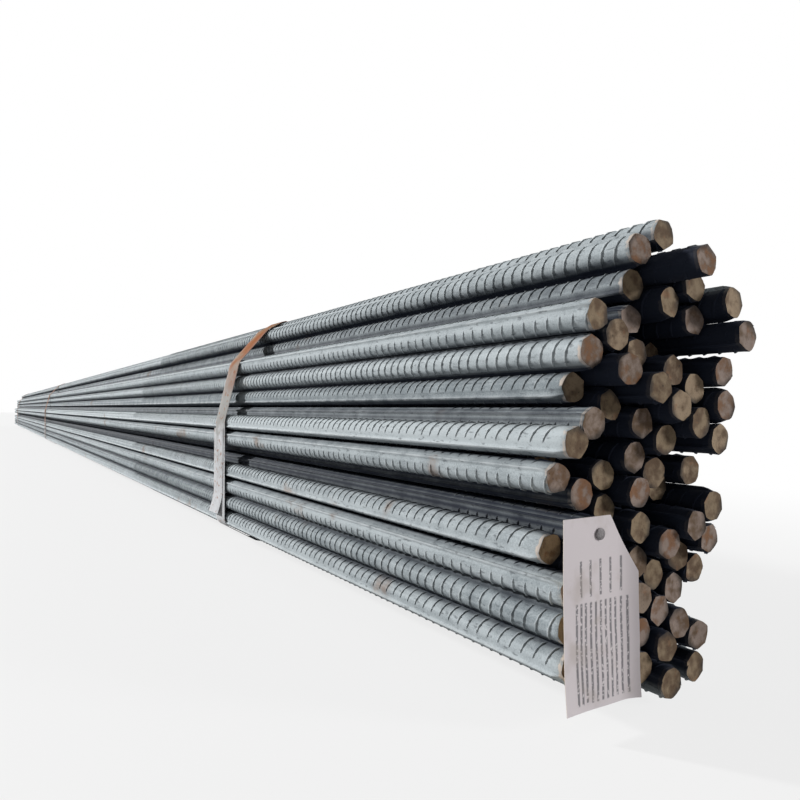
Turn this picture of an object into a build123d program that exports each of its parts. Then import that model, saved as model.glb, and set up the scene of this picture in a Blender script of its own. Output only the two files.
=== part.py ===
import os
from math import radians, sin, sqrt

from build123d import *

os.makedirs("parts", exist_ok=True)

# Bar: hot-rolled ribbed bar of 25 mm nominal size, cut to one stock length.
bar_length = 9000.0
core_diameter = 24.2
seam_rib_height = 2.4
seam_rib_width = 2.5

# Packing: each long rib lies just clear of the core beside it.
seat_gap = 0.3
end_stagger = 55.0

# Strap: flat steel band. The near one is lapped on the left flank, with a loose tail.
strap_width = 50.0
strap_thickness = 0.9
strap_clearance = 0.3
strap_inset = 800.0
lap_top_share = 0.95
lap_split_share = 0.40
lap_end_share = 0.24
lap_shift = 6.0
tail_lean_share = 0.35

# Tag: sheet hung on one nail, one corner clipped, its free edge curled away from the bars.
tag_width = 74.0
tag_height = 138.0
tag_thickness = 0.5
tag_gap = 0.3
tag_nail_drop = 13.0
tag_overhang = 13.0
clip_width = 26.0
clip_height = 44.0
curl_radius = 45.0
curl_angle = 24.0

# Nail: round head on a short shank, standing square on one bar's end.
nail_head_diameter = 9.0
nail_head_height = 1.6
nail_shank_diameter = 3.0
nail_hole_clearance = 0.3
nail_column = 1
nail_row = 4

# Columns of places from the left flank to the right, each from the floor up. A number is the share
# of the stagger by which that bar's near end stands out, and None is a place with no bar.
stagger_shares = (
    (None, 0.05, 0.00, 0.05, -0.35, None, -0.20, 0.12),
    (-0.30, -0.50, None, -0.15, 0.10, -0.20, -0.90, 0.05, -0.35, 0.00, 0.12),
    (-0.20, None, -0.10, -0.30, None, -0.17, -0.20, None, -0.05, 0.30, 0.07),
    (0.10, 0.10, 0.10, 0.05, 0.10, 0.10, 0.00, 0.13, 0.45, 0.05, -0.05, -0.03, 0.12),
    (0.27, 0.20, 0.08, -0.04, 0.25, None, 0.00, 0.20, 0.45, 0.32, None, 0.28, 0.87, 0.17),
    (None, 0.10, 0.00, 0.08, 0.38, -0.30, None, 0.47, 0.35, -0.40, 0.35, 0.38),
    (0.05, 0.10, None, 0.05, 0.30, 0.35, -0.03, 0.48, 0.57, 0.55, 0.90, 0.70),
)

# Long ribs point along the three rows of the packing in turn, so that no two ribs meet.
rib_angles = (150.0, 30.0, 90.0)

# Sizes that follow from those above.
core_radius = core_diameter / 2
rib_reach = core_radius + seam_rib_height
pitch = rib_reach + core_radius + seat_gap
column_step = pitch * sqrt(3) / 2
band_inner = rib_reach + strap_clearance
band_outer = band_inner + strap_thickness
half_length = bar_length / 2
columns = range(len(stagger_shares))
middle_column = (len(columns) - 1) / 2
tie_places = {
    "strap_near": half_length - strap_inset,
    "strap_middle": 0.0,
    "strap_far": strap_inset - half_length,
}


def place(column, row):
    """Centre of a bar in the section, as (y, z)."""
    lift = (row + column % 2 / 2) * pitch
    return (column - middle_column) * column_step, band_outer + lift


def near_end(column, row):
    """X of a bar's near cut end."""
    return half_length + stagger_shares[column][row] * end_stagger


def occupied(column):
    """Rows of a column that hold a bar."""
    return [row for row, share in enumerate(stagger_shares[column]) if share is not None]


def section_plane(x, y, z):
    """Plane across the bundle at one point, facing the near end."""
    return Plane(origin=(x, y, z), x_dir=(0, 1, 0), z_dir=(1, 0, 0))


def bar(column, row):
    """One bar: a round core with its two long ribs, cut square."""
    angle = rib_angles[(row - column // 2 + 2 * column) % len(rib_angles)]
    section = Circle(core_radius) + Rectangle(2 * rib_reach, seam_rib_width)
    far_end = section_plane(near_end(column, row) - bar_length, *place(column, row))
    return extrude(far_end * Rot(0, 0, angle) * section, bar_length)


def left_turn(first, second, third):
    """Whether three points of the section turn to the left."""
    ahead = (second[0] - first[0]) * (third[1] - first[1])
    across = (second[1] - first[1]) * (third[0] - first[0])
    return ahead > across


def half_hull(points):
    """One side of the convex outline around sorted points."""
    side = []
    for point in points:
        while len(side) > 1 and not left_turn(side[-2], side[-1], point):
            side.pop()
        side.append(point)
    return side[:-1]


def outermost_face():
    """Convex face through the outermost bar centres."""
    centres = sorted(place(column, row) for column in columns for row in occupied(column))
    corners = half_hull(centres) + half_hull(centres[::-1])
    return make_face(Polyline(*corners, close=True))


def strap(middle):
    """Closed band drawn tight round the bundle at one place along it."""
    centres = outermost_face()
    ring = offset(centres, band_outer) - offset(centres, band_inner)
    return extrude(section_plane(middle - strap_width / 2, 0, 0) * ring, strap_width)


def strap_lap(middle):
    """Second layer on the left flank, where the band's end laps it and leans off as a tail."""
    flank, flank_height = place(0, occupied(0)[-1])
    top = flank_height * lap_top_share
    split = flank_height * lap_split_share
    end = flank_height * lap_end_share
    right = strap_width / 2 - lap_shift
    left = right - strap_width
    lean = (split - end) * tail_lean_share
    right_edge = ((right - lean, end), (right, split), (right, top))
    left_edge = ((left, top), (left, split), (left - lean, end))
    outline = make_face(Polyline(*right_edge, *left_edge, close=True))
    seat = Plane(origin=(middle, flank - band_outer, 0), x_dir=(1, 0, 0), z_dir=(0, -1, 0))
    return extrude(seat * outline, strap_thickness)


def tag():
    """Sheet on the near end: flat behind the nail, then curled along its free edge."""
    nail_y, nail_z = place(nail_column, nail_row)
    back = near_end(nail_column, nail_row) + tag_gap
    front = back + tag_thickness
    left = place(0, 0)[0] - tag_overhang
    bend = left + tag_width - curl_radius * radians(curl_angle)
    top = nail_z + tag_nail_drop
    bottom = top - tag_height
    edge = ((back, bend, bottom), (front, bend, bottom), (front, bend, top), (back, bend, top))
    profile = make_face(Polyline(*edge, close=True))
    flat = extrude(profile, bend - left, dir=(0, -1, 0))
    curl = revolve(profile, Axis((back + curl_radius, bend, 0), (0, 0, -1)), curl_angle)
    right = bend + curl_radius * sin(radians(curl_angle))
    slant = ((-clip_width, 0), (clip_width, -2 * clip_height), (clip_width, 0))
    corner = section_plane(back, right, top) * make_face(Polyline(*slant, close=True))
    hole = section_plane(back, nail_y, nail_z) * Circle(nail_shank_diameter / 2 + nail_hole_clearance)
    return flat + curl - extrude(corner, curl_radius) - extrude(hole, tag_thickness)


def nail():
    """Nail with its shank through the tag and its head in front of it."""
    seat = section_plane(near_end(nail_column, nail_row), *place(nail_column, nail_row))
    shank_length = tag_gap + tag_thickness + tag_gap
    shank = extrude(seat * Circle(nail_shank_diameter / 2), shank_length)
    head = extrude(seat * Pos(0, 0, shank_length) * Circle(nail_head_diameter / 2), nail_head_height)
    return shank + head


for column in columns:
    bars = [bar(column, row) for row in occupied(column)]
    export_step(Compound(children=bars), f"parts/bars_column_{column + 1}.step")

for name, middle in tie_places.items():
    band = strap(middle)
    if name == "strap_near":
        band += strap_lap(middle)
    export_step(band, f"parts/{name}.step")

export_step(tag(), "parts/tag.step")
export_step(nail(), "parts/tag_nail.step")
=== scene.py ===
"""Dressed model of a rebar bundle: ribbed bars, steel straps, a nailed tag and a plain studio."""

import logging
from cmath import phase, rect
from collections.abc import Sequence
from dataclasses import dataclass, field, replace
from enum import Enum
from functools import cached_property, reduce
from math import atan2, cos, hypot, pi, radians, sin, sqrt, tan
from typing import ClassVar

import bmesh
import bpy
import numpy as np
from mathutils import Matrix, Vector


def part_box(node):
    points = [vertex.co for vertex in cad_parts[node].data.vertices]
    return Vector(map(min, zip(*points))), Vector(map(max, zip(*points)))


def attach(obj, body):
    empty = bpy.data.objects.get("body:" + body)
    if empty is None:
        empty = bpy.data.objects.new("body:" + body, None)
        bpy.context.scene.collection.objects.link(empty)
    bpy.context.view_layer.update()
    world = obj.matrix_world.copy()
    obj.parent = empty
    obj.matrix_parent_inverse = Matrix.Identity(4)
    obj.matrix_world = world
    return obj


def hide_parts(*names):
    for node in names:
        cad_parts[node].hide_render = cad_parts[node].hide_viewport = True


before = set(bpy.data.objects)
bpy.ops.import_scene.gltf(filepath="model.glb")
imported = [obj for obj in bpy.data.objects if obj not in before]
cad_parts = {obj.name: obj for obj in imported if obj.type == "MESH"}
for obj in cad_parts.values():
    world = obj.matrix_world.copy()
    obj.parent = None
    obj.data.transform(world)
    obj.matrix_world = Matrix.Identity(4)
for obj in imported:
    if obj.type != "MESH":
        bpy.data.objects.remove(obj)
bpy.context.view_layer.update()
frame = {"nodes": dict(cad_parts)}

log = logging.getLogger("rebar_bundle")

BODY = "root"
MM = 0.001
FULL_TURN = 2 * pi
WELD = 0.01 * MM
TIP_DEPTH = 0.1 * MM
STRAIGHT = 1e-9
NOISE_MIDDLE = 0.5
STRAP_SEED = 11
WHITE = (1.0, 1.0, 1.0)

Colour = tuple[float, float, float]
Axes = tuple[float, float, float]
Span = tuple[float, float]
Arrays = tuple[np.ndarray, np.ndarray, np.ndarray]


class RowSide(Enum):
    """The two rows of crosswise ribs on a bar, one on each side of its long ribs."""

    UPPER = 1
    LOWER = -1


class RibDetail(Enum):
    """How a crosswise rib is meshed: its stations, then the side and the lift of each point across it."""

    FINE = ((0, 1, 2, 3, 4, 5, 6), (-1.0, -1.0, 1.0, 1.0), (0.0, 1.0, 1.0, 0.0))
    COARSE = ((0, 2, 4, 6), (-1.0, 0.0, 1.0), (0.0, 1.0, 0.0))


class Skin(Enum):
    """Material slots of a piece; only a bar has the second."""

    ROLLED = 0
    CUT = 1


@dataclass(frozen=True)
class Grain:
    """Cloudy noise: its clouds in a metre, the finer layers on top and its stretch along each axis."""

    scale: float
    detail: float
    axes: Axes | None = None


@dataclass(frozen=True)
class Coat:
    """A colour laid over another. It comes in where a mask rises from low to high."""

    colour: Colour
    low: float
    high: float
    share: float = 1.0


@dataclass(frozen=True)
class Socket:
    """One output of a node, if it has any, whose arithmetic adds Math nodes to its graph."""

    graph: "Graph"
    output: bpy.types.NodeSocket | None

    def __add__(self, other: "Socket | float") -> "Socket":
        """Sum of two values."""
        return self.graph.math("ADD", self, other)

    def __radd__(self, other: float) -> "Socket":
        """Sum of a number and this value."""
        return self.graph.math("ADD", other, self)

    def __sub__(self, other: "Socket | float") -> "Socket":
        """Difference of two values."""
        return self.graph.math("SUBTRACT", self, other)

    def __rsub__(self, other: float) -> "Socket":
        """A number less this value."""
        return self.graph.math("SUBTRACT", other, self)

    def __mul__(self, other: "Socket | float") -> "Socket":
        """Product of two values."""
        return self.graph.math("MULTIPLY", self, other)

    def __rmul__(self, other: float) -> "Socket":
        """Product of a number and this value."""
        return self.graph.math("MULTIPLY", other, self)

    def __abs__(self) -> "Socket":
        """Size of this value without its sign."""
        return self.graph.math("ABSOLUTE", self, 0.0)

    def at_least(self, other: "Socket | float") -> "Socket":
        """The larger of two values."""
        return self.graph.math("MAXIMUM", self, other)

    def rise(self, low: float, high: float) -> "Socket":
        """Smooth step of this value, from 0 at low to 1 at high."""
        limits = {"Value": self, "From Min": low, "From Max": high}
        return self.graph.node("ShaderNodeMapRange", {"interpolation_type": "SMOOTHSTEP"}, limits)


class Graph:
    """The node tree of one material or world, and the one place where its nodes are made."""

    def __init__(self, tree: bpy.types.NodeTree) -> None:
        """Takes over a node tree and empties it."""
        tree.nodes.clear()
        self.tree = tree

    def node(
        self,
        kind: str,
        settings: dict[str, object] | None = None,
        values: dict[str | int, object] | None = None,
        output: str | int = 0,
    ) -> Socket:
        """Adds any node.

        Args:
            kind: The node's type.
            settings: Its own settings, which are set first.
            values: Numbers, colours or links for its inputs, by name or number.
            output: Which output to hand back.

        Returns:
            That output.
        """
        made = self.tree.nodes.new(kind)
        for name, setting in (settings or {}).items():
            setattr(made, name, setting)
        for name, value in (values or {}).items():
            entry = made.inputs[name]
            if isinstance(value, Socket):
                self.tree.links.new(value.output, entry)
            elif isinstance(value, tuple) and entry.type == "RGBA":
                entry.default_value = (*value, 1.0)
            else:
                entry.default_value = value
        return Socket(self, made.outputs[output] if made.outputs else None)

    def math(self, operation: str, first: Socket | float, second: Socket | float) -> Socket:
        """Adds one Math node."""
        return self.node("ShaderNodeMath", {"operation": operation}, {0: first, 1: second})

    def mix(self, first: Socket | Colour, second: Socket | Colour, share: Socket | float) -> Socket:
        """Mixes two colours, with none of the second at a share of 0."""
        values = {0: share, 6: first, 7: second}
        return self.node("ShaderNodeMix", {"data_type": "RGBA"}, values, output=2)

    def coat(
        self, under: Socket | Colour, mask: Socket, coat: Coat, where: Socket | float = 1.0
    ) -> Socket:
        """Lays a coat over a colour as its mask rises, as far as another mask lets it show."""
        return self.mix(under, coat.colour, coat.share * where * mask.rise(coat.low, coat.high))

    def place(self) -> Socket:
        """Place on the object, in metres."""
        return self.node("ShaderNodeTexCoord", output="Object")

    def noise(self, place: Socket, grain: Grain) -> Socket:
        """Cloudy noise.

        Args:
            place: Where it is read.
            grain: How coarse and how detailed it is.

        Returns:
            A value around NOISE_MIDDLE.
        """
        if grain.axes is not None:
            place = self.node("ShaderNodeVectorMath", {"operation": "MULTIPLY"}, {0: place, 1: grain.axes})
        values = {"Vector": place, "Scale": grain.scale, "Detail": grain.detail}
        return self.node("ShaderNodeTexNoise", None, values)

    def stored(self, name: str) -> Socket:
        """A value kept on the mesh's points."""
        return self.node("ShaderNodeAttribute", {"attribute_name": name}, output="Fac")

    def seen(self) -> Socket:
        """Whether a ray shows a surface to the eye, straight, mirrored or through glass.

        Returns:
            1 for such a ray and 0 for any other.
        """
        kinds = ("Is Camera Ray", "Is Glossy Ray", "Is Transmission Ray")
        camera, glossy, through = (self.node("ShaderNodeLightPath", output=kind) for kind in kinds)
        return camera.at_least(glossy).at_least(through)


@dataclass(frozen=True)
class Finish:
    """What every finish has: a material under its own name, its gloss, its roughness and its relief."""

    name: str
    specular: float = 0.5
    metallic: float = 0.0
    rough: float = 0.70
    rough_spread: float = 0.2
    cloud_share: float = 0.5
    bump_depth: float = 0.3 * MM
    bump_strength: float = 0.3

    def material(self) -> bpy.types.Material:
        """The finish as a material, made once.

        Returns:
            The material.
        """
        found = bpy.data.materials.get(self.name)
        if found is None:
            found = bpy.data.materials.new(self.name)
            found.use_nodes = True
            graph = Graph(found.node_tree)
            graph.node("ShaderNodeOutputMaterial", None, {"Surface": self.shader(graph)})
        return found

    def shader(self, graph: Graph) -> Socket:
        """The finish's nodes; each finish has its own."""
        raise NotImplementedError

    def dress(
        self, graph: Graph, colour: Socket, cloud: Socket, grain: Socket, polish: Socket | float = 0.0
    ) -> Socket:
        """Puts a finish's colour, roughness and relief on one shader.

        Args:
            graph: The material's graph.
            colour: Its colour.
            cloud: Its coarse noise, which is part of its relief and makes it rougher.
            grain: Its fine noise, the rest of its relief.
            polish: What makes it less rough.

        Returns:
            The shader.
        """
        relief = self.cloud_share * cloud + (1.0 - self.cloud_share) * grain
        bump = {"Height": relief, "Distance": self.bump_depth, "Strength": self.bump_strength}
        values = {
            "Base Color": colour,
            "Roughness": self.rough + self.rough_spread * cloud - polish,
            "Metallic": self.metallic,
            "Specular IOR Level": self.specular,
            "Normal": graph.node("ShaderNodeBump", None, bump, output="Normal"),
        }
        return graph.node("ShaderNodeBsdfPrincipled", None, values)


@dataclass(frozen=True)
class MillScale(Finish):
    """Blue-grey scale of hot-rolled bar, pale in the open, with painted shade: blue-black where other bars
    close it in.
    """

    # Painted shade: near-black blue for the sides that other bars close in.
    shelter_shade: Colour = (0.014, 0.018, 0.030)
    dark: Colour = (0.200, 0.232, 0.250)
    light: Coat = Coat((0.510, 0.560, 0.580), 0.18, 0.72)
    # Lighter patches on rib crests: partly rubbed wear, partly painted highlight.
    crest_wear_and_highlight: Coat = Coat((0.580, 0.620, 0.635), 0.3, 0.6, 0.6)
    # Painted shade along the foot of each crosswise rib.
    rib_foot_shade: Coat = Coat((0.090, 0.100, 0.112), 0.0, 0.7, 0.75)
    flecks: Coat = Coat((0.090, 0.100, 0.112), 0.58, 0.70, 0.6)
    rust: Coat = Coat((0.230, 0.120, 0.060), 0.70, 0.80, 0.55)
    chips: Coat = Coat((0.700, 0.600, 0.520), 0.25, 0.50)
    streak: Grain = Grain(1.0, 3.0, (2.5, 160.0, 160.0))
    mottle: Grain = Grain(55.0, 5.0)
    speck: Grain = Grain(900.0, 2.0)
    fleck: Grain = Grain(1.0, 4.0, (110.0, 340.0, 340.0))
    rust_patch: Grain = Grain(14.0, 6.0)
    chip_edge: Grain = Grain(260.0, 4.0)
    chip_group: Grain = Grain(75.0, 2.0)
    group_span: Span = (0.40, 0.52)
    open_span: Span = (0.36, 0.95)
    light_streak: float = 0.5
    light_mottle: float = 0.35
    light_tone: float = 0.3
    light_speck: float = 0.45
    light_drop: float = 0.30
    rust_speck: float = 0.12
    open_mottle: float = 0.2
    chip_rim: float = 0.9
    sheltered_chips: float = 0.04
    open_chips: float = 0.86
    crest_polish: float = 0.08
    specular: float = 0.10
    rough: float = 0.66
    rough_spread: float = 0.25
    cloud_share: float = 0.4
    bump_depth: float = 0.4 * MM
    bump_strength: float = 0.35

    def shader(self, graph: Graph) -> Socket:
        """Nodes of the scale.

        Args:
            graph: The material's graph.

        Returns:
            The shader.
        """
        place = graph.place()
        relief = graph.stored("rib_relief")
        crest = relief.at_least(0.0)
        streak = graph.noise(place, self.streak)
        mottle = graph.noise(place, self.mottle)
        speck = graph.noise(place, self.speck)
        light = (
            self.light_streak * streak
            + self.light_mottle * mottle
            + self.light_tone * graph.stored("bar_tone")
            + self.light_speck * speck
            - self.light_drop
        )
        colour = graph.coat(self.dark, light, self.light)
        # Rib crests lighter in patches: partly rubbed wear, partly painted highlight.
        colour = graph.coat(colour, mottle, self.crest_wear_and_highlight, crest)
        # Painted shade: darker where the rib relief is low, at the foot of each crosswise rib.
        colour = graph.coat(colour, 0.0 - relief, self.rib_foot_shade)
        colour = graph.coat(colour, graph.noise(place, self.fleck), self.flecks)
        rusted = graph.noise(place, self.rust_patch) + self.rust_speck * speck
        colour = graph.coat(colour, rusted, self.rust)
        # Painted shade: the scale turns near-black blue where few lines out of the bar clear the other
        # bars, and most of its chips go there too.
        unshaded = (graph.stored("open_share") + self.open_mottle * mottle).rise(*self.open_span)
        colour = graph.mix(self.shelter_shade, colour, unshaded)
        ragged = self.chip_rim * graph.stored("cut_rim") + graph.noise(place, self.chip_edge)
        grouped = graph.noise(place, self.chip_group).rise(*self.group_span)
        chipped = grouped * (self.sheltered_chips + self.open_chips * unshaded)
        colour = graph.coat(colour, ragged - NOISE_MIDDLE, self.chips, chipped)
        return self.dress(graph, colour, mottle, speck, self.crest_polish * crest)


@dataclass(frozen=True)
class CutSteel(Finish):
    """Sheared bar end: tan, brown, olive, rosy or rusted, and dark along one side of its rim."""

    tan: Colour = (0.302, 0.224, 0.148)
    olive: Coat = Coat((0.240, 0.178, 0.112), 0.20, 0.30)
    rosy: Coat = Coat((0.262, 0.203, 0.178), 0.56, 0.64, 0.85)
    brown: Coat = Coat((0.112, 0.072, 0.044), 0.15, 0.85)
    orange: Colour = (0.225, 0.106, 0.052)
    soot: Colour = (0.030, 0.026, 0.024)
    grime: Coat = Coat((0.030, 0.026, 0.024), 0.55, 0.75, 0.35)
    patch: Grain = Grain(110.0, 4.0)
    bloom: Grain = Grain(90.0, 3.0)
    grain: Grain = Grain(800.0, 2.0)
    pit_scale: float = 150.0
    rust_tints: Span = (0.78, 0.88)
    rust_span: Span = (0.44, 0.62)
    bloom_span: Span = (0.62, 0.72)
    rim_span: Span = (0.15, 0.95)
    pit_span: Span = (0.16, 0.08)
    pit_patches: Span = (0.5, 0.6)
    brown_tone: float = 0.45
    brown_patch: float = 2.2
    brown_drop: float = 0.85
    rusted_share: float = 0.65
    bloom_share: float = 0.45
    rim_share: float = 0.8
    pit_share: float = 0.6
    specular: float = 0.2
    cloud_share: float = 0.6
    bump_depth: float = 0.8 * MM
    bump_strength: float = 0.5

    def shader(self, graph: Graph) -> Socket:
        """Nodes of the cut face.

        Args:
            graph: The material's graph.

        Returns:
            The shader.
        """
        place = graph.place()
        tint = graph.stored("bar_tint")
        patch = graph.noise(place, self.patch)
        grain = graph.noise(place, self.grain)
        colour = graph.coat(self.tan, tint, self.olive)
        colour = graph.coat(colour, tint, self.rosy)
        browned = self.brown_tone * graph.stored("bar_tone") + self.brown_patch * patch - self.brown_drop
        colour = graph.coat(colour, browned, self.brown)
        rusted = tint.rise(*self.rust_tints) * patch.rise(*self.rust_span)
        bloom = graph.noise(place, self.bloom).rise(*self.bloom_span)
        rusty = (self.rusted_share * rusted).at_least(self.bloom_share * bloom)
        colour = graph.mix(colour, self.orange, rusty)
        rim = (graph.stored("cut_rim") * (NOISE_MIDDLE + patch)).rise(*self.rim_span)
        pit = graph.node("ShaderNodeTexVoronoi", None, {"Vector": place, "Scale": self.pit_scale})
        pits = pit.rise(*self.pit_span) * patch.rise(*self.pit_patches)
        sooty = (self.rim_share * rim).at_least(self.pit_share * pits)
        colour = graph.mix(colour, self.soot, sooty)
        colour = graph.coat(colour, grain, self.grime)
        return self.dress(graph, colour, patch, grain)


@dataclass(frozen=True)
class StrapSteel(Finish):
    """Flat steel band: pale below, dull above a height, rusted at the top, rubbed along its edges."""

    pale: Colour = (0.618, 0.628, 0.644)
    grey: Coat = Coat((0.420, 0.418, 0.416), 0.55, 0.95)
    dull: Coat = Coat((0.300, 0.290, 0.268), 0.173, 0.217, 0.85)
    tan: Colour = (0.300, 0.185, 0.105)
    rust: Coat = Coat((0.310, 0.100, 0.030), 0.50, 0.80)
    freckles: Coat = Coat((0.310, 0.100, 0.030), 0.57, 0.66, 0.65)
    rust_heights: Span = (0.237, 0.333)
    cloud: Grain = Grain(28.0, 5.0)
    grain: Grain = Grain(420.0, 3.0)
    freckle: Grain = Grain(130.0, 4.0)
    age_spread: float = 0.12
    grey_grain: float = 0.4
    rust_grain: float = 0.3
    edge_share: float = 0.2
    specular: float = 0.06
    rough_spread: float = 0.25
    bump_depth: float = 0.4 * MM

    def shader(self, graph: Graph) -> Socket:
        """Nodes of the band.

        Args:
            graph: The material's graph.

        Returns:
            The shader.
        """
        place = graph.place()
        height = graph.node("ShaderNodeSeparateXYZ", None, {"Vector": place}, output="Z")
        cloud = graph.noise(place, self.cloud)
        grain = graph.noise(place, self.grain)
        aged = height + self.age_spread * (cloud - NOISE_MIDDLE)
        colour = graph.coat(self.pale, cloud + self.grey_grain * grain, self.grey)
        colour = graph.coat(colour, aged, self.dull)
        rusty = graph.coat(self.tan, cloud + self.rust_grain * grain, self.rust)
        colour = graph.mix(colour, rusty, aged.rise(*self.rust_heights))
        colour = graph.coat(colour, graph.noise(place, self.freckle), self.freckles)
        colour = graph.mix(colour, self.pale, self.edge_share * graph.stored("strap_edge"))
        return self.dress(graph, colour, cloud, grain)


@dataclass(frozen=True)
class TagSheet(Finish):
    """Thin label stock: off-white front with plain ruled lines, cream back, soiled in clouds."""

    front: Colour = (0.635, 0.580, 0.595)
    back: Colour = (0.620, 0.530, 0.400)
    ink: Colour = (0.090, 0.085, 0.095)
    soil: Coat = Coat((0.400, 0.340, 0.300), 0.52, 0.75, 0.45)
    long_rules: tuple[float, ...] = (0.17, 0.23, 0.29, 0.36, 0.43, 0.50, 0.57, 0.64, 0.71, 0.79, 0.87)
    long_span: Span = (0.44, 0.96)
    short_rules: tuple[float, ...] = (0.23, 0.36, 0.50, 0.64, 0.79)
    short_span: Span = (0.22, 0.41)
    rule_half: float = 0.021
    rule_core: float = 0.0084
    rule_fade: float = 0.01
    cloud: Grain = Grain(45.0, 4.0)
    fibre: Grain = Grain(1500.0, 2.0)
    wear: Grain = Grain(520.0, 2.0)
    wear_span: Span = (0.33, 0.48)
    ink_share: float = 0.85
    rough: float = 0.55
    bump_strength: float = 0.25

    def rules(self, graph: Graph) -> Socket:
        """Ruled lines of an empty form.

        Args:
            graph: The material's graph.

        Returns:
            1 on a line and 0 between lines.
        """
        across = graph.stored("tag_across")
        down = graph.stored("tag_down")
        lines: list[Socket] = []
        for rules, (top, foot) in ((self.long_rules, self.long_span), (self.short_rules, self.short_span)):
            inside = down.rise(top, top + self.rule_fade) * down.rise(foot + self.rule_fade, foot)
            for rule in rules:
                lines.append(inside * abs(across - rule).rise(self.rule_half, self.rule_core))
        return reduce(Socket.at_least, lines)

    def shader(self, graph: Graph) -> Socket:
        """Nodes of the label.

        Args:
            graph: The material's graph.

        Returns:
            The shader.
        """
        place = graph.place()
        cloud = graph.noise(place, self.cloud)
        fibre = graph.noise(place, self.fibre)
        facing = graph.stored("tag_front")
        colour = graph.mix(self.back, self.front, facing)
        printed = self.ink_share * facing * graph.noise(place, self.wear).rise(*self.wear_span)
        colour = graph.mix(colour, self.ink, printed * self.rules(graph))
        colour = graph.coat(colour, cloud, self.soil)
        return self.dress(graph, colour, cloud, fibre)


@dataclass(frozen=True)
class NailSteel(Finish):
    """Dull nail head, darker in its grain."""

    dark: Colour = (0.085, 0.078, 0.080)
    bright: Coat = Coat((0.215, 0.200, 0.205), 0.3, 0.65)
    grain: Grain = Grain(600.0, 4.0)
    metallic: float = 0.25
    rough: float = 0.50
    rough_spread: float = 0.3
    bump_strength: float = 0.5

    def shader(self, graph: Graph) -> Socket:
        """Nodes of the nail."""
        grain = graph.noise(graph.place(), self.grain)
        return self.dress(graph, graph.coat(self.dark, grain, self.bright), grain, grain)


@dataclass(frozen=True)
class PaleFloor(Finish):
    """Studio floor: pale, and plain white to the eye away from the object."""

    pale: Colour = (0.420, 0.420, 0.420)
    rough: float = 0.8
    white_span: Span = (0.25, 1.60)
    white_share: float = 0.80

    def shader(self, graph: Graph) -> Socket:
        """Nodes of the floor.

        Args:
            graph: The material's graph.

        Returns:
            The shader.
        """
        across = graph.node("ShaderNodeSeparateXYZ", None, {"Vector": graph.place()}, output="Y")
        away = abs(across).rise(*self.white_span)
        white = graph.node("ShaderNodeEmission", None, {"Color": WHITE, "Strength": 1.0})
        share = graph.seen() * (self.white_share + (1.0 - self.white_share) * away)
        matt = {"Base Color": self.pale, "Roughness": self.rough}
        plain = graph.node("ShaderNodeBsdfPrincipled", None, matt)
        return graph.node("ShaderNodeMixShader", None, {0: share, 1: plain, 2: white})


def show(name: str, data: bpy.types.ID) -> bpy.types.Object:
    """Makes an object and puts it in the scene.

    Args:
        name: Its name.
        data: Its mesh, lamp or camera.

    Returns:
        The object.
    """
    made = bpy.data.objects.new(name, data)
    bpy.context.scene.collection.objects.link(made)
    return made


@dataclass
class MeshBuffer:
    """Points, faces and point values that are gathered into one joined mesh."""

    points: list[np.ndarray] = field(default_factory=list)
    faces: list[list[int]] = field(default_factory=list)
    skins: list[int] = field(default_factory=list)
    values: dict[str, list[np.ndarray]] = field(default_factory=dict)
    count: int = 0

    def add(
        self,
        points: np.ndarray,
        faces: np.ndarray,
        skin: Skin = Skin.ROLLED,
        **values: np.ndarray | float,
    ) -> None:
        """Adds points with the faces between them.

        Args:
            points: One row of X, Y and Z per point.
            faces: One row of point numbers per face, counted from the first of these points.
            skin: Material slot of the faces.
            **values: A number, or one number per point, under the name that a finish reads.
        """
        self.points.append(points)
        self.more_faces(faces, skin, self.count)
        for name, value in values.items():
            spread = np.broadcast_to(np.asarray(value, float), len(points))
            self.values.setdefault(name, []).append(spread)
        self.count += len(points)

    def more_faces(self, faces: np.ndarray, skin: Skin = Skin.ROLLED, first: int = 0) -> None:
        """Adds faces over points that are there, numbered from the first."""
        self.faces.extend((faces + first).tolist())
        self.skins.extend([skin.value] * len(faces))

    def piece(self, name: str, finishes: Sequence[Finish], sharp: float) -> bpy.types.Object:
        """Makes the object.

        Args:
            name: Its name.
            finishes: The finish of each material slot.
            sharp: Angle above which an edge stays sharp, in degrees.

        Returns:
            The object, in the scene.
        """
        mesh = bpy.data.meshes.new(name)
        mesh.from_pydata(np.concatenate(self.points).tolist(), [], self.faces)
        for finish in finishes:
            mesh.materials.append(finish.material())
        mesh.polygons.foreach_set("material_index", self.skins)
        for value_name, parts in self.values.items():
            stored = mesh.attributes.new(value_name, "FLOAT", "POINT")
            stored.data.foreach_set("value", np.concatenate(parts).astype(np.float32))
        mesh.shade_smooth()
        mesh.set_sharp_from_angle(angle=radians(sharp))
        return show(name, mesh)


def grid_faces(rows: int, across: int, closed: bool, looped: bool = False) -> np.ndarray:
    """Faces of a grid of points that is numbered row by row.

    Args:
        rows: Rows of points.
        across: Points in a row.
        closed: Whether each row is a ring.
        looped: Whether the last row joins the first.

    Returns:
        One row of four point numbers per face.
    """
    steps = np.arange(across - (not closed))
    row, step = np.meshgrid(np.arange(rows - (not looped)), steps, indexing="ij")
    after = (step + 1) % across
    below, above = row * across, (row + 1) % rows * across
    corners = (below + step, below + after, above + after, above + step)
    return np.stack([corner.ravel() for corner in corners], axis=1)


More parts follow.
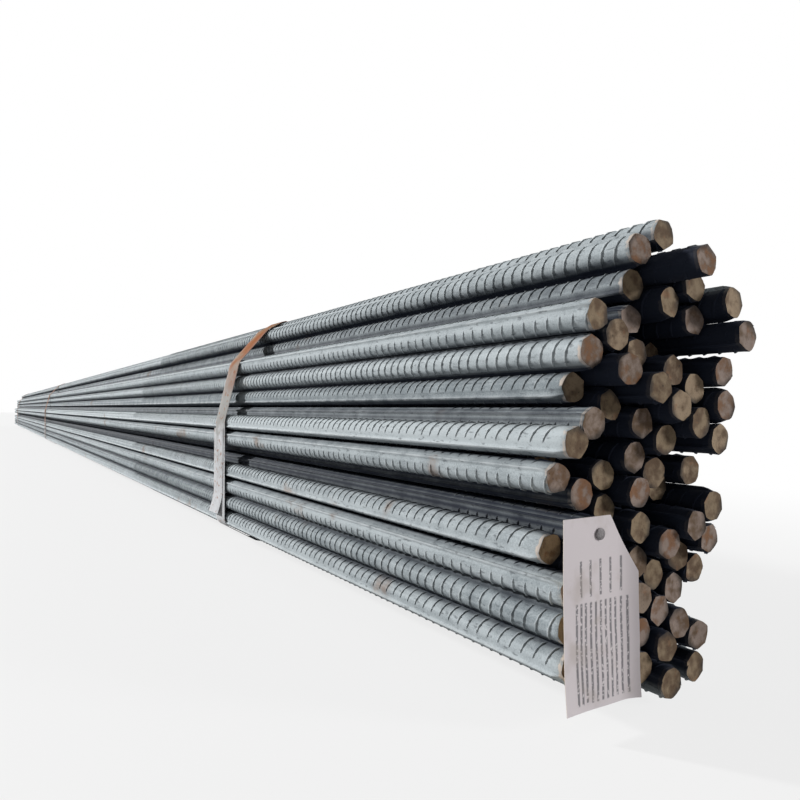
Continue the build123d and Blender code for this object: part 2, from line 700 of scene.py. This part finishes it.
@dataclass
class Piece:
    """One dressed piece, built in the place of its CAD node."""

    node: str
    finishes: tuple[Finish, ...]
    buffer: MeshBuffer = field(default_factory=MeshBuffer, init=False)
    slot: ClassVar[str]
    prefix: ClassVar[str] = "dressed_"
    sharp: ClassVar[float] = 50.0

    def fill(self) -> None:
        """Adds the piece's meshes; each piece has its own."""
        raise NotImplementedError

    def build(self) -> bpy.types.Object:
        """Builds the piece.

        Returns:
            The piece, in place of its node.
        """
        self.fill()
        piece = self.buffer.piece(self.prefix + self.node, self.finishes, self.sharp)
        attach(piece, BODY)
        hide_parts(self.node)
        log.info("%s: %d faces", piece.name, len(piece.data.polygons))
        return piece


@dataclass(frozen=True)
class Bar:
    """One bar of a packed column: its ends, its centre, the turn of its long ribs, its shade and hue."""

    far: float
    near: float
    y: float
    z: float
    turn: float
    tone: float = 0.0
    tint: float = 0.0


@dataclass
class Bundle:
    """All bars of the bundle, and what stands beside each."""

    columns: dict[str, list[Bar]]
    core_radius: float = 12.1 * MM
    sight_radius: float = 11.0 * MM
    sight_fan: tuple[float, ...] = (-60.0, -40.0, -20.0, 0.0, 20.0, 40.0, 60.0)
    pitch: float = 27.0 * MM
    slack: float = 3.0 * MM

    @classmethod
    def from_frame(cls, nodes: dict[str, bpy.types.Object]) -> "Bundle":
        """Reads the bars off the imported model's columns."""
        names = sorted(name for name in nodes if name.startswith("bars_column_"))
        return cls({name: cls.read_column(nodes[name]) for name in names})

    @staticmethod
    def read_column(node: bpy.types.Object) -> list[Bar]:
        """Reads the bars of one column, from the lowest up.

        Args:
            node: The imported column.

        Returns:
            Its bars.
        """
        mesh = bmesh.new()
        mesh.from_mesh(node.data)
        bmesh.ops.remove_doubles(mesh, verts=mesh.verts, dist=WELD)
        waiting = set(mesh.verts)
        bars: list[Bar] = []
        while waiting:
            reached = [waiting.pop()]
            points = []
            while reached:
                vertex = reached.pop()
                points.append(tuple(vertex.co))
                linked = {edge.other_vert(vertex) for edge in vertex.link_edges} & waiting
                waiting -= linked
                reached.extend(linked)
            bars.append(Bundle.read_bar(np.array(sorted(points))))
        mesh.free()
        return sorted(bars, key=lambda bar: bar.z)

    @staticmethod
    def read_bar(points: np.ndarray) -> Bar:
        """Reads one bar off its points.

        Args:
            points: All of its points.

        Returns:
            The bar.
        """
        section = points[:, 1:]
        middle = section.mean(axis=0)
        first = section[np.argmax(np.hypot(*(section - middle).T))]
        second = section[np.argmax(np.hypot(*(section - first).T))]
        centre = (first + second) / 2
        reach = np.hypot(*(section - centre).T)
        tips = section[reach > reach.max() - TIP_DEPTH] - centre
        doubled = 2 * np.arctan2(tips[:, 1], tips[:, 0])
        turn = atan2(np.sin(doubled).mean(), np.cos(doubled).mean()) / 2
        return Bar(points[:, 0].min(), points[:, 0].max(), centre[0], centre[1], turn)

    def bars(self) -> list[Bar]:
        """Every bar, column by column."""
        return [bar for column in self.columns.values() for bar in column]

    def clear(self, bar: Bar, angles: np.ndarray) -> np.ndarray:
        """Whether straight lines out of a bar, across the bundle, meet no other bar.

        Args:
            bar: The bar that they start in.
            angles: Their directions in the section, in an array of any shape.

        Returns:
            True for each line that is clear.
        """
        y, z = np.array([(other.y - bar.y, other.z - bar.z) for other in self.bars()]).T
        across, up = np.cos(angles)[..., None], np.sin(angles)[..., None]
        ahead = y * across + z * up
        aside = abs(z * across - y * up)
        return ~((ahead > self.core_radius) & (aside < self.sight_radius)).any(axis=-1)

    def openness(self, bar: Bar, angles: np.ndarray) -> np.ndarray:
        """How open a bar lies in each direction: the share of a fan of lines around it that is clear.
        Where it is low, the scale gets painted shade.
        """
        return self.clear(bar, angles[:, None] + np.radians(self.sight_fan)).mean(axis=1)

    def beside(self, bar: Bar, angle: float) -> Bar | None:
        """The bar that lies next to another in one direction of the section, if there is one."""
        y, z = bar.y + self.pitch * cos(angle), bar.z + self.pitch * sin(angle)
        return next((bar for bar in self.bars() if hypot(bar.y - y, bar.z - z) < self.slack), None)

    def outline(self, reach: float, step: float) -> np.ndarray:
        """Line that a tight band takes round all bars.

        Args:
            reach: Distance of the line from the outermost bars' centres.
            step: Longest stretch between two of its points.

        Returns:
            One row per point: Y, Z and the direction that faces out.
        """
        centres = sorted({(bar.y, bar.z) for bar in self.bars()})
        corners = [complex(*corner) for corner in half_hull(centres) + half_hull(centres[::-1])]
        rows: list[tuple[complex, complex]] = []
        for before, here, after in zip(corners[-1:] + corners, corners, corners[1:] + corners[:1]):
            first = phase(here - before) - pi / 2
            turn = (phase(after - here) - pi / 2 - first) % FULL_TURN
            arcs = max(1, round(turn * reach / step))
            outs = [rect(1.0, first + turn * arc / arcs) for arc in range(arcs + 1)]
            rows += [(here + reach * out, out) for out in outs]
            start, out = rows[-1]
            runs = max(1, round(abs(after - here) / step))
            rows += [(start + run * ((after - here) / runs), out) for run in range(1, runs)]
        return np.array([(spot.real, spot.imag, out.real, out.imag) for spot, out in rows])


def half_hull(points: Sequence[tuple[float, float]]) -> list[tuple[float, float]]:
    """One side of the convex outline round sorted points.

    Args:
        points: Points in order along one axis.

    Returns:
        Its corners, without the last.
    """
    side: list[tuple[float, float]] = []
    for point in points:
        while len(side) > 1:
            (ay, az), (by, bz) = side[-2:]
            if (by - ay) * (point[1] - az) - (bz - az) * (point[0] - ay) > STRAIGHT:
                break
            side.pop()
        side.append(point)
    return side[:-1]


@dataclass
class BarColumn(Piece):
    """One column of bars: their rolled sides, long ribs, crosswise ribs and cut ends."""

    bundle: Bundle
    rng: np.random.Generator
    reach: float = 14.5 * MM
    # A long rib from foot to tip: half its width in millimetres and the share of its height.
    long_rib: tuple[Span, ...] = ((2.3, 0.0), (1.5, 0.25), (1.2, 0.75), (0.7, 1.0))
    core_points: int = 12
    body_stretch: float = 0.75
    rib_spacing: float = 13.6 * MM
    rib_height: float = 1.3 * MM
    rib_sizes: Span = (0.88, 1.0)
    rib_half_top: float = 0.6 * MM
    rib_end_share: float = 0.4
    rib_flare: float = 0.7
    rib_sink: float = 0.3 * MM
    rib_lean: float = 20.0
    rib_angles: tuple[float, ...] = (12.0, 36.0, 60.0, 90.0, 120.0, 144.0, 168.0)
    rib_shares: tuple[float, ...] = (0.0, 0.62, 0.93, 1.0, 0.93, 0.62, 0.0)
    seat_angles: Span = (60.0, 120.0)
    seat_height: float = 1.1 * MM
    facing: float = 0.1
    ribbed_end: float = 0.17
    rib_margin: float = 5.0 * MM
    fine_from: float = 2.9
    cut_corners: tuple[int, int] = (5, 8)
    cut_corner: float = 13.4 * MM
    cut_wobble: float = 0.16
    cut_squash: float = 0.07
    cut_crush: float = 0.3
    cut_squareness: float = 0.62
    side_margin: float = 10.0 * MM
    cut_taper: float = 5.0 * MM
    taper_share: float = 0.4
    cut_shoulder: float = 0.9 * MM
    cut_lip: float = 0.25 * MM
    cut_edge: float = 0.3 * MM
    cut_dish: Span = (0.2, 0.9)
    cut_slope: float = 0.09
    cut_shade: float = 0.12
    # Rings on a cut face, as shares of its edge's radius, its dish's depth and its rim's shade.
    cut_face: tuple[tuple[float, float, float], ...] = ((0.74, 0.4, 0.6), (0.40, 1.0, 0.0))
    slot: ClassVar[str] = "bar_steel"
    prefix: ClassVar[str] = "ribbed_"
    sharp: ClassVar[float] = 42.0

    def fill(self) -> None:
        """Adds every bar of the column, each with a shade and hue of its own."""
        for read in self.bundle.columns[self.node]:
            tone, tint = self.rng.random(2)
            bar = replace(read, tone=tone, tint=tint)
            self.add_body(bar)
            for side in RowSide:
                self.add_row(bar, side)

    @cached_property
    def section(self) -> Arrays:
        """Outline of a bar, with its long ribs along the first axis.

        Returns:
            The angle and radius of each point, and its share of the long rib's height.
        """
        core = self.bundle.core_radius
        ridge: list[tuple[float, float, float]] = []
        for half_mm, share in self.long_rib:
            half = half_mm * MM
            out = sqrt(core**2 - half**2) * (1 - share) + self.reach * share
            ridge.append((atan2(half, out), hypot(half, out), share))
        foot = ridge[0][0]
        plain = np.linspace(foot, pi - foot, self.core_points + 2)[1:-1]
        half_turn = [(-angle, radius, share) for angle, radius, share in ridge] + ridge[::-1]
        half_turn += [(angle, core, 0.0) for angle in plain]
        angle, radius, share = np.array(half_turn).T
        return np.concatenate((angle, angle + pi)), np.tile(radius, 2), np.tile(share, 2)

    def cut_outline(self) -> np.ndarray:
        """Outline of a sheared end: pressed to a blunt polygon, its long ribs half crushed.

        Returns:
            The radius of the end's edge at each point of the section.
        """
        angle, radius, _ = self.section
        core = self.bundle.core_radius
        lobe = FULL_TURN / self.rng.integers(*self.cut_corners)
        turned = angle + self.rng.uniform(0, lobe)
        turned = turned + self.cut_wobble * np.sin(2 * angle + self.rng.uniform(0, FULL_TURN))
        flat = self.cut_corner * cos(lobe / 2) / np.cos(turned % lobe - lobe / 2)
        squash = self.rng.uniform(0.0, self.cut_squash)
        press = np.cos(angle - self.rng.uniform(0, FULL_TURN)) ** 2
        crushed = core + self.cut_crush * (radius - core)
        blunt = self.cut_squareness * flat + (1 - self.cut_squareness) * crushed
        return np.minimum((1 - squash * press) * blunt, self.cut_corner)

    def cut_rings(self, end: float, inward: float) -> list[Arrays]:
        """Rings of points that lead from a bar's side over its edge onto its cut face.

        Args:
            end: X of the cut end.
            inward: Sign of the way into the bar along X.

        Returns:
            The X, radius and nearness to the edge of each ring's points, from the side inwards.
        """
        angle, radius, _ = self.section
        edge = self.cut_outline()
        dish = self.rng.uniform(*self.cut_dish) * MM
        slope = self.rng.uniform(0.0, self.cut_slope)
        lean = np.cos(angle - self.rng.uniform(0, FULL_TURN))
        dark_side = self.cut_shade + (1 - self.cut_shade) * np.clip(lean, 0, 1)
        bare = np.zeros(len(angle))
        profile = [
            (self.cut_taper, self.taper_share * edge + (1 - self.taper_share) * radius, bare),
            (self.cut_shoulder, edge, bare + 1),
            (self.cut_lip, edge - self.cut_edge, dark_side),
        ]
        for out, deep, dark in self.cut_face:
            profile.append((self.cut_lip + deep * dish, out * edge, dark * dark_side))
        return [
            (end + inward * (depth + slope * (self.cut_corner + out * lean)), out, rim)
            for depth, out, rim in profile
        ]

    def add_body(self, bar: Bar) -> None:
        """Adds a bar's sides and cut ends as one closed skin.

        Args:
            bar: The bar.
        """
        angle, radius, share = self.section
        around = len(angle)
        stretches = round((bar.near - bar.far) / self.body_stretch)
        inner = np.linspace(bar.far + self.side_margin, bar.near - self.side_margin, stretches)
        sides = [(np.full(around, x), radius, np.zeros(around)) for x in inner]
        rings = self.cut_rings(bar.far, 1.0)[::-1] + sides + self.cut_rings(bar.near, -1.0)
        turned = angle + bar.turn
        points = [
            np.stack((x, bar.y + out * np.cos(turned), bar.z + out * np.sin(turned)), axis=1)
            for x, out, _ in rings
        ]
        rims = np.concatenate([rim for *_, rim in rings])
        faces = grid_faces(len(rings), around, closed=True)
        cut = len(self.cut_face) * around
        start = self.buffer.count
        own = {"bar_tone": bar.tone, "bar_tint": bar.tint}
        relief = np.tile(share, len(rings)) * (rims == 0)
        # Share of clear lines out of each point, which sets the scale's painted shade.
        unshaded = np.tile(self.bundle.openness(bar, turned), len(rings))
        values = {"rib_relief": relief, "cut_rim": rims, "open_share": unshaded, **own}
        self.buffer.add(np.concatenate(points), faces[cut:-cut], **values)
        for end_faces in (faces[:cut], faces[-cut:]):
            self.buffer.more_faces(end_faces, Skin.CUT, start)
        step = np.arange(around)
        fan = np.stack((step, (step + 1) % around, np.full(around, around)), axis=1)
        bare = {"rib_relief": 0.0, "cut_rim": 0.0, "open_share": 1.0, **own}
        for ring, order in ((points[0], -1), (points[-1], 1)):
            self.buffer.add(np.vstack((ring, ring.mean(axis=0))), fan[:, ::order], Skin.CUT, **bare)

    def row_heights(self, bar: Bar, side: RowSide) -> np.ndarray:
        """Height of a crosswise rib along its run, low where another bar lies against it.

        Args:
            bar: The bar.
            side: Which row of ribs.

        Returns:
            The height at each of the rib's stations.
        """
        heights = np.array(self.rib_shares) * self.rib_height
        for degrees in self.seat_angles:
            angle = bar.turn + side.value * radians(degrees)
            other = self.bundle.beside(bar, angle)
            if other is not None:
                faces_rib = abs(sin(other.turn - angle)) < self.facing
                heights[self.rib_angles.index(degrees)] = 0.0 if faces_rib else self.seat_height
        return heights

    def add_row(self, bar: Bar, side: RowSide) -> None:
        """Adds the crosswise ribs of one row that can be seen.

        Args:
            bar: The bar.
            side: Which row of ribs.
        """
        first = bar.far + self.rib_margin + self.rng.uniform(0, self.rib_spacing)
        places = np.arange(first, bar.near - self.rib_margin, self.rib_spacing)
        sizes = self.rng.uniform(*self.rib_sizes, len(places))
        heights = sizes[:, None] * self.row_heights(bar, side)
        outward = bar.turn + side.value * np.radians(self.rib_angles[1:-1])
        shown = (places > bar.near - self.ribbed_end) | (places < bar.far + self.ribbed_end)
        shown |= self.bundle.clear(bar, outward).any()
        fine = places > self.fine_from
        for detail, chosen in ((RibDetail.FINE, shown & fine), (RibDetail.COARSE, shown & ~fine)):
            if chosen.any():
                self.add_ribs(bar, side, detail, places[chosen], heights[chosen])

    def add_ribs(
        self, bar: Bar, side: RowSide, detail: RibDetail, places: np.ndarray, heights: np.ndarray
    ) -> None:
        """Adds crescent ribs of one row at the given places.

        Args:
            bar: The bar.
            side: Which row of ribs.
            detail: How finely they are meshed.
            places: X of each rib's middle.
            heights: One row per rib of its height at each station.
        """
        core = self.bundle.core_radius
        stations, edges, tops = (np.array(part) for part in detail.value)
        run = np.radians(self.rib_angles)[stations, None]
        share = np.array(self.rib_shares)[stations, None]
        height = heights[:, stations, None]
        top_share = self.rib_end_share + (1 - self.rib_end_share) * share
        half = self.rib_half_top * top_share + self.rib_flare * height * (1 - tops)
        lean = tan(radians(self.rib_lean)) * core * (run - pi / 2)
        x = places[:, None, None] - side.value * lean + edges * half
        radius = core + np.where(share > 0, (height + self.rib_sink) * tops, 0.0) - self.rib_sink
        turned = bar.turn + side.value * run
        y = bar.y + radius * np.cos(turned)
        z = bar.z + radius * np.sin(turned)
        # Relief is low at a rib's foot, where the scale gets painted shade, and high on its crest, which
        # the scale lightens as wear and painted highlight.
        relief = (2 * tops - 1) * share
        # Share of clear lines out of each point, which sets the scale's painted shade.
        unshaded = self.bundle.openness(bar, turned[:, 0])[:, None]
        spread = [part.ravel() for part in np.broadcast_arrays(x, y, z, relief, unshaded)]
        one = grid_faces(len(stations), len(edges), closed=False)
        one = one[:, ::-1] if side is RowSide.UPPER else one
        firsts = len(stations) * len(edges) * np.arange(len(places))
        faces = (one + firsts[:, None, None]).reshape(-1, 4)
        values = {"rib_relief": spread[3], "open_share": spread[4], "bar_tone": bar.tone}
        self.buffer.add(np.stack(spread[:3], axis=1), faces, bar_tint=0.0, cut_rim=0.0, **values)


@dataclass
class Strap(Piece):
    """A flat steel band drawn tight round the bundle."""

    bundle: Bundle
    rng: np.random.Generator
    width: float = 50.0 * MM
    inner: float = 14.8 * MM
    thickness: float = 0.9 * MM
    step: float = 7.0 * MM
    wander: float = 0.9 * MM
    waves: tuple[int, ...] = (1, 2, 5)
    wave_sizes: Span = (0.3, 1.0)
    # Round the band: shares of its half width and its thickness, and the nearness to an edge.
    section: tuple[tuple[float, float, float], ...] = (
        (-1.0, 0.15, 1.0), (-0.97, 0.0, 0.6), (0.97, 0.0, 0.6), (1.0, 0.15, 1.0),
        (1.0, 0.7, 1.0), (0.95, 1.0, 0.7), (0.4, 0.96, 0.0), (-0.4, 0.96, 0.0),
        (-0.95, 1.0, 0.7), (-1.0, 0.7, 1.0),
    )
    slot: ClassVar[str] = "strap_steel"

    def middle(self) -> float:
        """X of the band's middle."""
        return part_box(self.node)[1].x - self.width / 2

    def fill(self) -> None:
        """Adds the closed band, which wanders a little to both sides."""
        path = self.bundle.outline(self.inner, self.step)
        along = np.linspace(0, FULL_TURN, len(path), endpoint=False)
        sway = np.zeros(len(path))
        for waves in self.waves:
            size = self.rng.uniform(*self.wave_sizes) / waves
            sway += size * np.sin(waves * along + self.rng.uniform(0, FULL_TURN))
        points, edge = self.sweep(path, self.middle() + self.wander * sway, np.zeros(len(path)))
        faces = grid_faces(len(path), len(self.section), closed=True, looped=True)
        self.buffer.add(points, faces[:, ::-1], strap_edge=edge)

    def sweep(
        self, path: np.ndarray, middle: np.ndarray, lift: np.ndarray
    ) -> tuple[np.ndarray, np.ndarray]:
        """Carries the band's section along a line.

        Args:
            path: One row per point: Y, Z and the direction that faces out.
            middle: X of the band's middle at each point.
            lift: How far the band stands off the line at each point.

        Returns:
            The points, and how near each is to an edge.
        """
        side, level, edge = np.array(self.section).T
        x = middle[:, None] + side * self.width / 2
        out = lift[:, None] + level * self.thickness
        y = path[:, 0, None] + path[:, 2, None] * out
        z = path[:, 1, None] + path[:, 3, None] * out
        points = np.stack([part.ravel() for part in (x, y, z)], axis=1)
        return points, np.tile(edge, len(path))


@dataclass
class LappedStrap(Strap):
    """The near strap: its end laps the band on the left flank and leans off below as a tail."""

    lap_top: float = 194.0 * MM
    lap_split: float = 82.0 * MM
    lap_end: float = 49.0 * MM
    lap_gap: float = 0.05 * MM
    lap_shift: float = 6.0 * MM
    lap_skew: float = 3.0 * MM
    lap_points: int = 26
    tail_lean: float = 12.0 * MM
    tail_lift: float = 5.0 * MM
    tail_bow: float = 1.6

    def fill(self) -> None:
        """Adds the band, then the lap over it with its two ends closed."""
        super().fill()
        height = np.linspace(self.lap_top, self.lap_end, self.lap_points)
        flank = min(bar.y for bar in self.bundle.bars()) - self.inner - self.thickness
        path = np.zeros((self.lap_points, 4))
        path[:, 0], path[:, 1], path[:, 2] = flank, height, -1.0
        tail = np.clip((self.lap_split - height) / (self.lap_split - self.lap_end), 0, 1)
        lap = np.clip((self.lap_top - height) / (self.lap_top - self.lap_split), 0, 1)
        middle = self.middle() - self.lap_shift - self.lap_skew * lap - self.tail_lean * tail
        points, edge = self.sweep(path, middle, self.lap_gap + self.tail_lift * tail**self.tail_bow)
        around = len(self.section)
        self.buffer.add(points, grid_faces(self.lap_points, around, closed=True), strap_edge=edge)
        end = np.arange(around)[None, :]
        for ring, order in ((points[:around], -1), (points[-around:], 1)):
            self.buffer.add(ring, end[:, ::order], strap_edge=1.0)


@dataclass
class Tag(Piece):
    """A blank label sheet, hung on its nail and curled along its free edge."""

    nail_node: str = "tag_nail"
    width: float = 74.0 * MM
    height: float = 138.0 * MM
    clip_width: float = 26.0 * MM
    clip_height: float = 44.0 * MM
    thickness: float = 0.5 * MM
    curl_radius: float = 45.0 * MM
    curl_angle: float = 24.0
    ripple: float = 0.9 * MM
    ripple_waves: tuple[Span, Span] = ((7.5, 5.0), (-2.0, 9.0))
    held_share: float = 0.08
    foot_lift: float = 5.0 * MM
    foot_from: float = 0.55
    columns: int = 41
    rows: int = 64
    slot: ClassVar[str] = "tag_sheet"

    def build(self) -> bpy.types.Object:
        """Builds the tag.

        Returns:
            The piece, in place of its node.
        """
        piece = super().build()
        return piece

    def fill(self) -> None:
        """Adds the sheet's back and front, then the rim between them."""
        low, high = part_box(self.node)
        nail = sum(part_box(self.nail_node), Vector()) / 2
        u, v = np.meshgrid(np.linspace(0, 1, self.columns), np.linspace(0, 1, self.rows))
        clipped = np.clip(1 - v * self.height / self.clip_height, 0, 1)
        u = u * (1 - clipped * self.clip_width / self.width)
        bend = self.width - self.curl_radius * radians(self.curl_angle)
        arc = np.maximum(u * self.width - bend, 0) / self.curl_radius
        y = low.y + np.minimum(u * self.width, bend) + self.curl_radius * np.sin(arc)
        z = high.z - v * self.height
        loose = np.clip(np.hypot(y - nail.y, z - nail.z) / self.height - self.held_share, 0, 1)
        first, second = (across * u + down * v for across, down in self.ripple_waves)
        wave = 1 + np.sin(first) * np.cos(second)
        lift = self.ripple * wave + self.foot_lift * np.clip(v - self.foot_from, 0, 1)
        x = low.x + self.curl_radius * (1 - np.cos(arc)) + loose * lift
        faces = grid_faces(self.rows, self.columns, closed=False)
        for front in (0.0, 1.0):
            points = np.stack([part.ravel() for part in (x + front * self.thickness, y, z)], axis=1)
            values = {"tag_across": u.ravel(), "tag_down": v.ravel(), "tag_front": front}
            self.buffer.add(points, faces[:, ::-1] if front else faces, **values)
        grid = np.arange(u.size).reshape(u.shape)
        loop = np.concatenate((grid[0], grid[1:, -1], grid[-1, -2::-1], grid[-2:0:-1, 0]))
        after = np.roll(loop, -1)
        self.buffer.more_faces(np.stack((loop, loop + u.size, after + u.size, after), axis=1))


@dataclass
class TagNail(Piece):
    """The tag's nail: a short shank and a round, slightly domed head."""

    around: int = 32
    # From the foot to the head: the distance along the nail and the radius, in millimetres.
    profile: tuple[Span, ...] = (
        (0.0, 1.5), (1.05, 1.5), (1.1, 4.0), (1.3, 4.4), (1.6, 4.5), (2.0, 4.45), (2.3, 4.1),
        (2.5, 3.2), (2.62, 2.0), (2.68, 1.0),
    )
    slot: ClassVar[str] = "nail_steel"
    sharp: ClassVar[float] = 40.0

    def fill(self) -> None:
        """Adds the turned nail, from its foot to its head."""
        low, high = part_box(self.node)
        middle = (low + high) / 2
        angle = np.linspace(0, FULL_TURN, self.around, endpoint=False)
        along, radius = np.array(self.profile).T[:, :, None] * MM
        rings = np.broadcast_arrays(
            low.x + along, middle.y + radius * np.cos(angle), middle.z + radius * np.sin(angle)
        )
        points = np.stack([part.ravel() for part in rings], axis=1)
        self.buffer.add(points, grid_faces(len(self.profile), self.around, closed=True))
        foot = np.arange(self.around)[None, :]
        self.buffer.more_faces(foot + len(points) - self.around)
        self.buffer.more_faces(foot[:, ::-1])


@dataclass(frozen=True)
class Lamp:
    """A distant lamp: the direction that it shines from, its strength and its width in degrees."""

    source: Axes
    strength: float
    spread: float


@dataclass
class Studio:
    """Plain floor, soft light and the camera."""

    floor_finish: PaleFloor
    floor_half: float = 30.0
    floor_drop: float = 0.3 * MM
    key: Lamp = Lamp((-0.80, -0.48, 0.35), 4.7, 4.0)
    fill: Lamp = Lamp((0.66, 0.70, 0.27), 2.4, 14.0)
    sky: float = 0.10
    camera_place: Axes = (4.863, -0.435, 0.2295)
    camera_turn: Axes = (90.60, 0.0, 58.67)
    lens: float = 31.05

    def build(self) -> None:
        """Builds the floor, the light and the camera."""
        self.add_floor()
        self.add_light()
        self.add_camera()
        bpy.context.scene.view_settings.view_transform = "Standard"

    def add_floor(self) -> None:
        """Adds the floor under the bundle."""
        half = self.floor_half
        corners = [(-half, -half), (half, -half), (half, half), (-half, half)]
        mesh = bpy.data.meshes.new("floor")
        mesh.from_pydata([(x, y, -self.floor_drop) for x, y in corners], [], [(0, 1, 2, 3)])
        mesh.materials.append(self.floor_finish.material())
        show("floor", mesh)

    def add_light(self) -> None:
        """Adds a light from the far left, one on the cut ends and the right side, and an even sky."""
        for name, lamp in (("key", self.key), ("fill", self.fill)):
            sun = bpy.data.lights.new(name, "SUN")
            sun.energy = lamp.strength
            sun.angle = radians(lamp.spread)
            turn = (-Vector(lamp.source)).to_track_quat("-Z", "Y")
            show(name, sun).rotation_euler = turn.to_euler()
        world = bpy.data.worlds.new("studio")
        world.use_nodes = True
        graph = Graph(world.node_tree)
        strength = self.sky + (1.0 - self.sky) * graph.seen()
        sky = graph.node("ShaderNodeBackground", None, {"Color": WHITE, "Strength": strength})
        graph.node("ShaderNodeOutputWorld", None, {"Surface": sky})
        bpy.context.scene.world = world

    def add_camera(self) -> None:
        """Adds the camera, low beside the near end."""
        lens = bpy.data.cameras.new("camera")
        lens.lens = self.lens
        camera = show("camera", lens)
        camera.location = self.camera_place
        camera.rotation_euler = tuple(radians(turn) for turn in self.camera_turn)
        bpy.context.scene.camera = camera


def main() -> None:
    """Builds every piece in order, then the studio."""
    logging.basicConfig(level=logging.INFO, format="%(message)s")
    bundle = Bundle.from_frame(frame["nodes"])
    bar_finishes = (MillScale("mill_scale"), CutSteel("cut_steel"))
    for seed, node in enumerate(bundle.columns):
        BarColumn(node, bar_finishes, bundle, np.random.default_rng(seed)).build()
    near_steel = (StrapSteel("near_strap_steel"),)
    worn_steel = (StrapSteel("worn_strap_steel", rust_heights=(-0.02, 0.22)),)
    straps = (
        (LappedStrap, "strap_near", near_steel),
        (Strap, "strap_middle", worn_steel),
        (Strap, "strap_far", worn_steel),
    )
    for seed, (kind, node, finishes) in enumerate(straps, STRAP_SEED):
        kind(node, finishes, bundle, np.random.default_rng(seed)).build()
    Tag("tag", (TagSheet("ruled_label"),)).build()
    TagNail("tag_nail", (NailSteel("dull_nail"),)).build()
    Studio(PaleFloor("pale_floor")).build()


if __name__ == "__main__":
    main()
